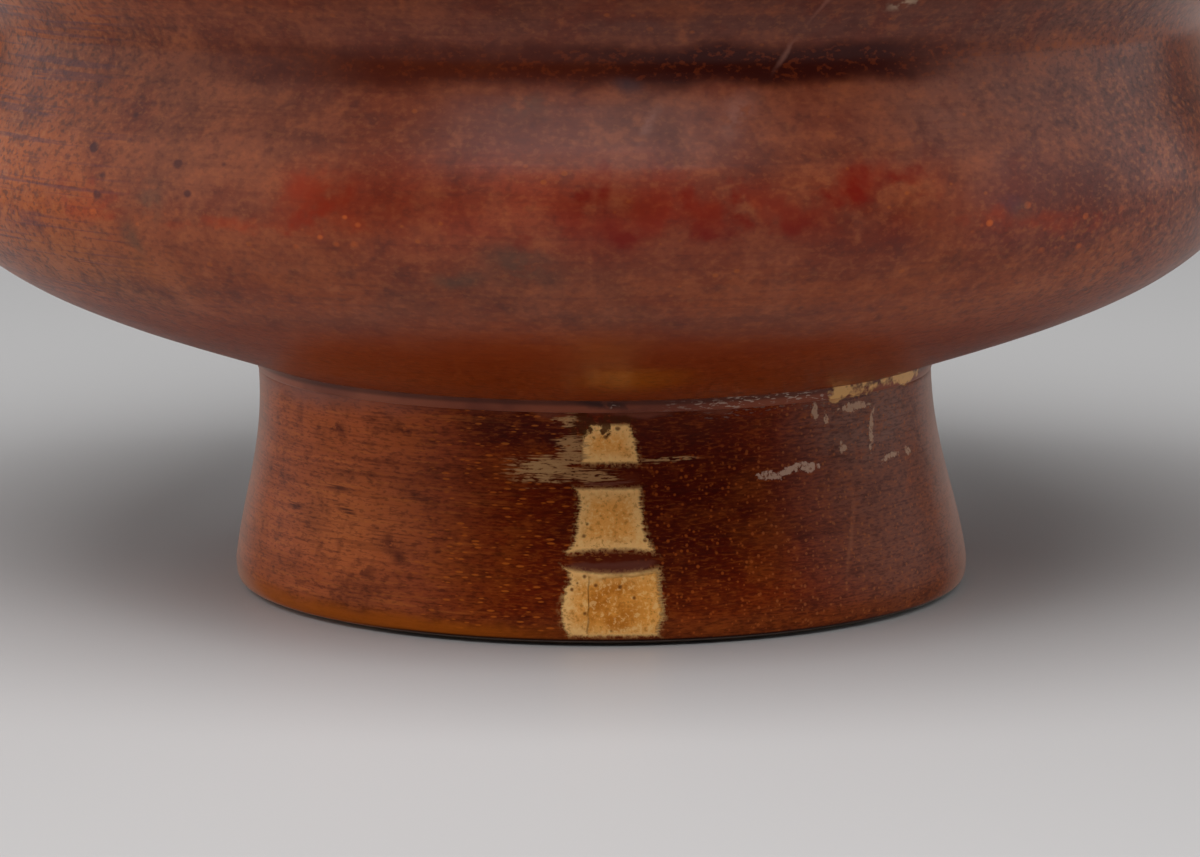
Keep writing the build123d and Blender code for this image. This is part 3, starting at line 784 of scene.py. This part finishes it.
FOOT_LAYERS = [
    # Orange-brown on the left, near black-red in the middle. Greyer to the right: painted sheen of the right
    # light
    lay("#B85E34", 0.95, core=0.35, marks=[(-26, 8, 21, 26)]),
    lay("#C87038", 0.5, marks=[(-19, 7, 9, 5)]),
    lay("#4A0E04", 0.9, core=0.3, marks=[(4.5, 9.5, 12, 9), (-5, 14.2, 7, 1.8)]),
    # Painted sheen: greyer to the right, where the right light is mirrored
    lay("#7C4A38", 0.8, core=0.3, marks=[(24, 9, 13, 18)]),
    lay("#946A5C", 0.6, core=0.3, marks=[(35, 8, 9, 20)]),
    lay("#80645A", 0.5, core=0.3, marks=[(22, 13.5, 10, 4)]),
    lay("#80300E", 0.6, ("level", 5, 2), core=0.3, marks=[(8, 2, 15, 5)]),
    lay("#7A3A18", 0.6, ("level", 3, 1)),
    # Rings from the blade
    lay("#5C2008", 0.35, ("bands", 0.5, 0.68)),
    lay("#4E1C10", 0.35, ("hairs", 0.52, 0.66), lift=-0.006),
    lay("#C87430", 0.25, ("hairs", 0.46, 0.32), ("across", -2, -11.5)),
    # Clouds, mottling and fine grain
    lay("#50200E", 0.35, ("clouds", 0.5, 0.68)),
    lay("#A05018", 0.25, ("clouds", 0.47, 0.3)),
    lay("#42140A", 0.35, ("mottle", 0.52, 0.68)),
    lay("#A04A18", 0.25, ("mottle", 0.46, 0.3)),
    lay("#300C06", 0.4, ("grain", 0.5, 0.64)),
    lay("#B05A20", 0.22, ("grain", 0.48, 0.34)),
    # Orange flecks: short dashes on the left of the bare stripe, round dots on its right
    lay("#C4641E", 0.65, ("dashes", 0.36, 0.2), ("side", -16, -9), ("side", 0, -3)),
    lay("#B0541E", 0.6, ("dots", 0.4, 0.2), ("side", 1, 4), ("side", 15, 9), ("level", 14.6, 11)),
    lay("#A45A2C", 0.55, ("dots", 0.38, 0.22), ("across", 8, 12.4)),
    lay("#9A5620", 0.6, ("dashes", 0.36, 0.2), core=0.3, marks=[(-5, 14, 9, 1.8)]),
    # Dark streaks and blots on the left
    lay("#3A1410", 0.8, ("hairs", 0.4, 0.52), marks=[
        (-20.2, 9.1, 2.6, 0.5, -5), (-25.1, 7.6, 2, 0.5, -8), (-18.8, 7.6, 1.7, 0.4, -7),
        (-12.7, 9.1, 1.6, 0.6)]),
    lay("#4A1810", 0.75, ("mottle", 0.4, 0.5), marks=[
        (-14.8, 6.1, 1.6, 1.1), (-17, 4.1, 1.6, 0.9), (-10.9, 5.8, 1.2, 0.5), (-14.2, 5.2, 0.8, 1),
        (-21, 13.2, 2, 0.8), (-14.5, 13.6, 1.5, 0.6)]),
    # Worn edge at the bottom on the left
    lay("#A8540C", 0.7, ("level", 1.9, 1), ("across", 0, -9.7)),
    # Slip in the cut that crosses the bare stripe, and between its upper patches
    lay("#5A1C08", 0.9, ("stripe", -0.2, 0.3), core=0.5, marks=[(0.6, 5.9, 3.8, 0.7)]),
    lay("#9A5A24", 0.7, ("grain", 0.56, 0.64), core=0.5, marks=[(0.6, 5.95, 3.4, 0.4)]),
    # Painted light: the cut's lower side, which faces up, painted paler purple
    lay("#6A382A", 0.85, ("stripe", -0.3, 0.3), ("level", 5.62, 5.35), core=0.6, rough=0.1,
        marks=[(0.6, 5.2, 3.6, 0.5)]),
    lay("#5A2010", 0.8, ("stripe", -0.2, 0.3), core=0.5, marks=[(0.8, 11, 3, 0.8)]),
    lay("#7A4838", 0.7, core=0.3, through="brushed", marks=[(0.4, 10.9, 2.4, 0.35)]),
    # Bare buff clay, a little below the slip, more orange in the middle, with dark grit
    lay("#A87848", 0.7, ("bare", -0.3, 0.05), ("fuzz", 0.44, 0.56)),
    lay("#FCC67C", 1, ("bare", -0.05, 0.25), rough=0.3, lift=-0.08),
    lay("#F0A248", 0.85, ("bare", 0.3, 1.2)),
    lay("#D88E3C", 0.4, ("bare", 0.2, 0.6), ("mottle", 0.48, 0.62)),
    lay("#EC9C3C", 0.6, ("bare", 0.1, 0.4), ("about", -0.8, -0.64), ("level", 5, 4.6), lift=-0.3),
    lay("#BE6C16", 0.85, ("bare", 0.2, 0.5), ("about", -0.78, -0.66), ("side", 3.2, 1.2),
        ("mottle", 0.3, 0.56), core=0.4, marks=[(1.2, 2.7, 3, 2.6)]),
    lay("#FFD48C", 0.5, ("bare", 0.1, 0.4), ("fuzz", 0.48, 0.36)),
    lay("#B06E28", 0.55, ("bare", 0.1, 0.4), ("fuzz", 0.54, 0.66)),
    lay("#6A3A18", 0.85, ("bare", 0.1, 0.3), ("grit", 0.3, 0.14), lift=-0.02),
    lay("#4A2008", 0.9, core=0.5, through="fuzz",
        marks=[(0.2, 14.4, 0.5, 1.1), (-1.3, 14.6, 1.3, 1.1), (1.4, 14.9, 1.5, 0.5)]),
    # Thin slip brushed off to the left of the top patch
    lay("#B4885A", 0.9, ("grain", 0.68, 0.54), through="brushed", fade=0.68,
        marks=[(-3.4, 12, 3.4, 1.5), (-1.5, 11.4, 3.8, 0.8), (-2.2, 13, 1.8, 1.5)]),
    lay("#BC9262", 0.8, ("grain", 0.6, 0.46), through="brushed",
        marks=[(-4.6, 11.6, 3.4, 1.8), (-2.3, 15, 1.6, 0.6), (4.4, 12.1, 3, 0.4)]),
    # Ochre patches at the shoulder, pale drips below them and a chalky scratch
    lay("#DCA868", 0.9, core=0.3, through="mottle", marks=[(19.8, 15.6, 3.8, 0.6), (27.2, 15.8, 4.6, 0.8)]),
    lay("#B8957A", 0.8, core=0.3, through="fuzz", marks=[
        (22.1, 12.9, 0.4, 2.4, -12), (18.8, 11.9, 0.6, 0.7), (16.3, 14.7, 0.4, 0.7), (17.3, 14.3, 0.35, 0.6),
        (27.1, 10.7, 0.6, 0.5), (24.2, 10.5, 1.7, 0.35), (20.3, 14.6, 2.6, 0.4)]),
    lay("#BC9A84", 0.95, core=0.4, through="fuzz",
        marks=[(12.2, 10.45, 1.3, 0.45), (13.7, 10.95, 1.3, 0.4, 25), (15.2, 11.15, 1.2, 0.45, -10)]),
    lay("#9A5A3C", 0.5, ("mottle", 0.36, 0.5), marks=[(18.5, 6.2, 0.4, 4.6, -18)]),
    lay("#B09A8A", 0.5, ("grain", 0.54, 0.64), marks=[(12, 15.2, 9, 0.7)]),
    # Purple-grey slip at the shoulder, painted paler with the sheen it catches, most on the left: painted
    # highlight
    lay("#7C4636", 0.7, ("level", 15, 15.4), rough=0.1, core=0.3, marks=[(4, 15.8, 22, 1.2)]),
    lay("#8A5A50", 0.7, ("level", 13.5, 15.4), core=0.2, marks=[(-26, 16, 17, 3)]),
    # Standing face ground bare, with grime rubbed into it
    lay("#D8A468", 0.9, ("run", 3.9, 3.5), rough=0.3),
    lay("#8E745C", 0.6, ("run", 3.9, 3.5), ("mottle", 0.44, 0.6)),
    lay("#5A4636", 0.5, ("run", 3.9, 3.5), ("hairs", 0.5, 0.62)),
    # Painted shadow under the edge at the front, where it meets the table, and painted sheen: the slip paler
    # at a low angle
    lay("#140A06", 0.9, ("height", 0.62, 0.46), ("across", -19, -11.5), ("run", 3.4, 3.9)),
    lay("#C0A598", 0.55, ("graze", 0.62, 0.95), rough=0.2),
]

# Slip as thick as cream, wiped smooth into the seam with a wet finger: dull purple-grey, with little grain
SEAM_LAYERS = [
    # Painted highlight: paler on the left, where the left light falls
    lay("#A0604A", 0.75, core=0.2, marks=[(-26, 15.6, 18, 4)]),
    lay("#5A2A22", 0.5, ("clouds", 0.5, 0.66)),
    # Painted shade: darker at the top, under the bowl, and darkest in a spot at the front
    lay("#3A1A14", 0.6, ("height", 15.7, 15.95)),
    lay("#2A1414", 0.8, ("mottle", 0.36, 0.5), core=0.1, marks=[(0, 15.9, 3.7, 0.45)]),
    lay("#C4B0A0", 0.6, ("grain", 0.54, 0.62), core=0.3, marks=[(12, 15.7, 10, 0.7), (0.8, 15.8, 0.5, 0.4)]),
    lay("#DCA868", 0.95, core=0.3, through="mottle", marks=[(19.8, 15.9, 4.2, 0.9), (27, 16, 5, 1)]),
    # Painted sheen: paler at a low angle
    lay("#C0A598", 0.55, ("graze", 0.62, 0.95), rough=0.2),
]


def dress(piece, node):
    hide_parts(node)
    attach(piece, "root")


class BOWL_OT_throw_wall(bpy.types.Operator):
    """Throw the bowl's wall, floor and lip"""
    bl_idname = "bowl.throw_wall"
    bl_label = "Thrown wall"

    def execute(self, context):
        s = context.scene.bowl
        clay = coat("burnished red slip on thrown earthenware", WALL_GIRTH, outside=88, base="#7E3C26",
                    roughness=0.3, gloss=0.16, fields=WALL_FIELDS, layers=WALL_LAYERS)
        piece = turn_piece("thrown_wall", wall_outline(s), s, 360, s.wheel.ridge_depth, clay)
        dress(piece, "bowl_body")
        return {"FINISHED"}


def cut_across(piece, foot, wheel):
    """Shallow cut with pointed ends across the front of the foot."""
    middle, half_height = (wheel.cut_low + wheel.cut_high) / 2, (wheel.cut_high - wheel.cut_low) / 2
    centre, half_width = (wheel.cut_left + wheel.cut_right) / 2, (wheel.cut_right - wheel.cut_left) / 2
    for vertex in piece.data.vertices:
        x, y, z = vertex.co
        side = math.atan2(x, -y) * FOOT_GIRTH * MM - centre
        if abs(side) < half_width and math.hypot(x, y) > foot.neck_radius - foot.shoulder:
            taper = math.cos(math.pi / 2 * side / half_width)
            rise = (z - middle) / (half_height * taper)
            if abs(rise) < 1:
                inward = wheel.cut_depth * taper * math.cos(math.pi / 2 * rise)
                vertex.co.xy -= vertex.co.xy.normalized() * inward


class BOWL_OT_turn_foot(bpy.types.Operator):
    """Turn the tall foot ring"""
    bl_idname = "bowl.turn_foot"
    bl_label = "Foot ring"

    def execute(self, context):
        s = context.scene.bowl
        clay = coat("red slip on trimmed earthenware", FOOT_GIRTH, outside=21, base="#6E2208",
                    roughness=0.32, gloss=0.05, fields=FOOT_FIELDS, layers=FOOT_LAYERS, masks=stripe_masks)
        piece = turn_piece("turned_foot", foot_outline(s), s, 480, s.wheel.ridge_depth / 2, clay)
        cut_across(piece, s.foot, s.wheel)
        dress(piece, "foot_ring")
        return {"FINISHED"}


class BOWL_OT_lute_seam(bpy.types.Operator):
    """Lute the ring to the bowl"""
    bl_idname = "bowl.lute_seam"
    bl_label = "Luted seam"

    def execute(self, context):
        s = context.scene.bowl
        clay = coat("luting slip", FOOT_GIRTH, outside=7, base="#864630", roughness=0.4, gloss=0.12,
                    fields=FOOT_FIELDS, layers=SEAM_LAYERS)
        piece = turn_piece("luted_seam", seam_outline(s), s, 480, 0, clay)
        dress(piece, "luting_slip")
        return {"FINISHED"}


# Softboxes, in metres: place, the point each faces, and width and height
SOFTBOXES = {
    "left": ((-0.62, 0, 0.6), (0, 0, 0.6), (1.1, 1.2)),
    "right": ((0.7, 0.05, 0.35), (0, 0.05, 0.35), (0.8, 0.7)),
    "top": ((0, -0.4, 0.75), (0, 0, 0.03), (0.65, 0.74)),
}
ROOM_LIGHT = 0.04
FRAME_WIDTH = 36  # mm, of the camera's film
TABLE_SIDES = 64


def softbox(name, place, target, size, watts):
    lamp = bpy.data.lights.new(name, "AREA")
    lamp.shape = "RECTANGLE"
    lamp.size, lamp.size_y = size
    lamp.energy = watts
    light = new_object(name, lamp)
    light.location = place
    light.rotation_euler = (Vector(target) - Vector(place)).to_track_quat("-Z", "Y").to_euler()


class BOWL_OT_set_stage(bpy.types.Operator):
    """Set the plain table, the soft lights and the camera"""
    bl_idname = "bowl.set_stage"
    bl_label = "Studio"

    def execute(self, context):
        studio = context.scene.bowl.studio
        turns = [math.tau * i / TABLE_SIDES for i in range(TABLE_SIDES)]
        corners = [Vector((math.cos(turn), math.sin(turn), 0)) * studio.floor_radius for turn in turns]
        mesh = bpy.data.meshes.new("table")
        mesh.from_pydata(corners, [], [range(TABLE_SIDES)])
        # Uncoated paper, rolled smooth: pale, even and matt, so that it only shows the shadow
        paper = bpy.data.materials.new("matt paper")
        paper.use_nodes = True
        sockets = paper.node_tree.nodes["Principled BSDF"].inputs
        sockets["Base Color"].default_value = (*studio.floor_colour, 1)
        mesh.materials.append(paper)
        floor = new_object("table", mesh)

        for side, (place, target, size) in SOFTBOXES.items():
            softbox(side + "_softbox", place, target, size, getattr(studio, side + "_power"))
        world = bpy.data.worlds.new("Studio")
        world.use_nodes = True
        world.node_tree.nodes["Background"].inputs["Color"].default_value = (*[ROOM_LIGHT] * 3, 1)
        SCENE.world = world

        lens = bpy.data.cameras.new("camera")
        lens.lens = studio.lens
        lens.sensor_width = FRAME_WIDTH
        camera = new_object("camera", lens)
        camera.location = (studio.camera_side, -studio.camera_distance, studio.camera_height)
        camera.rotation_euler = (math.pi / 2 - studio.camera_pitch, 0, 0)
        SCENE.camera = camera
        SCENE.view_settings.view_transform = "Standard"
        return {"FINISHED"}


class BOWL_PT_panel(bpy.types.Panel):
    bl_idname = "BOWL_PT_panel"
    bl_label = "Red-slipped bowl"
    bl_space_type = "VIEW_3D"
    bl_region_type = "UI"
    bl_category = "Bowl"

    def draw(self, context):
        for operator in OPERATORS:
            self.layout.operator(operator.bl_idname)


GROUPS = (FootSizes, WallSizes, SeamSizes, WheelMarks, Studio, BowlSettings)
OPERATORS = (BOWL_OT_set_stage, BOWL_OT_throw_wall, BOWL_OT_turn_foot, BOWL_OT_lute_seam)
CLASSES = (*GROUPS, *OPERATORS, BOWL_PT_panel)


def register():
    for kind in CLASSES:
        bpy.utils.register_class(kind)
    bpy.types.Scene.bowl = PointerProperty(type=BowlSettings)


def unregister():
    del bpy.types.Scene.bowl
    for kind in reversed(CLASSES):
        bpy.utils.unregister_class(kind)


def main():
    register()
    bpy.ops.bowl.set_stage()
    bpy.ops.bowl.throw_wall()
    bpy.ops.bowl.turn_foot()
    bpy.ops.bowl.lute_seam()


if __name__ == "__main__":
    main()
